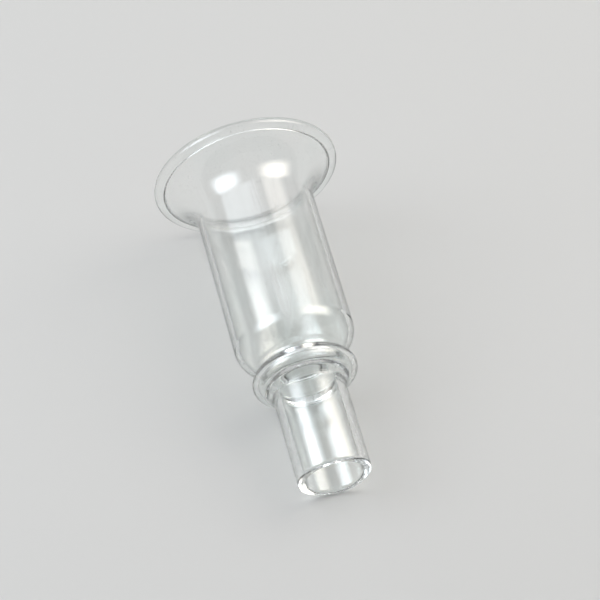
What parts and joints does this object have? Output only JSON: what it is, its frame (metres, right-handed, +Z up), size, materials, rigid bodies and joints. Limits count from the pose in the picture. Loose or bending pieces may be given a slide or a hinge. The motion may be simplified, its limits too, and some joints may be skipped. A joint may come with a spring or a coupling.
{
  "type": "glass funnel",
  "caption": "Short-stem laboratory funnel of clear lampworked glass: straight bowl, flared mouth with a rolled rim, hollow stop collar and a wide open stem.",
  "frame": {"origin": "centre of the underside of the bounding box, on the surface the funnel lies on", "axes": "+Z up; the funnel lies on its side as it rests by itself, its axis in the YZ plane, the stem end towards -Y and the mouth towards +Y, tilted up towards the mouth by about 9.6 degrees"},
  "size_m": [0.0524, 0.103, 0.0517],
  "materials": {
    "clear_glass": "clear, fire-polished edges, faint haze from use"
  },
  "bodies": {
    "root": {"stem_tube": "clear_glass", "stop_collar": "clear_glass", "bowl_shoulder": "clear_glass", "bowl_tube": "clear_glass", "mouth_flare": "clear_glass", "rim_bead": "clear_glass"}
  },
  "joints": []
}
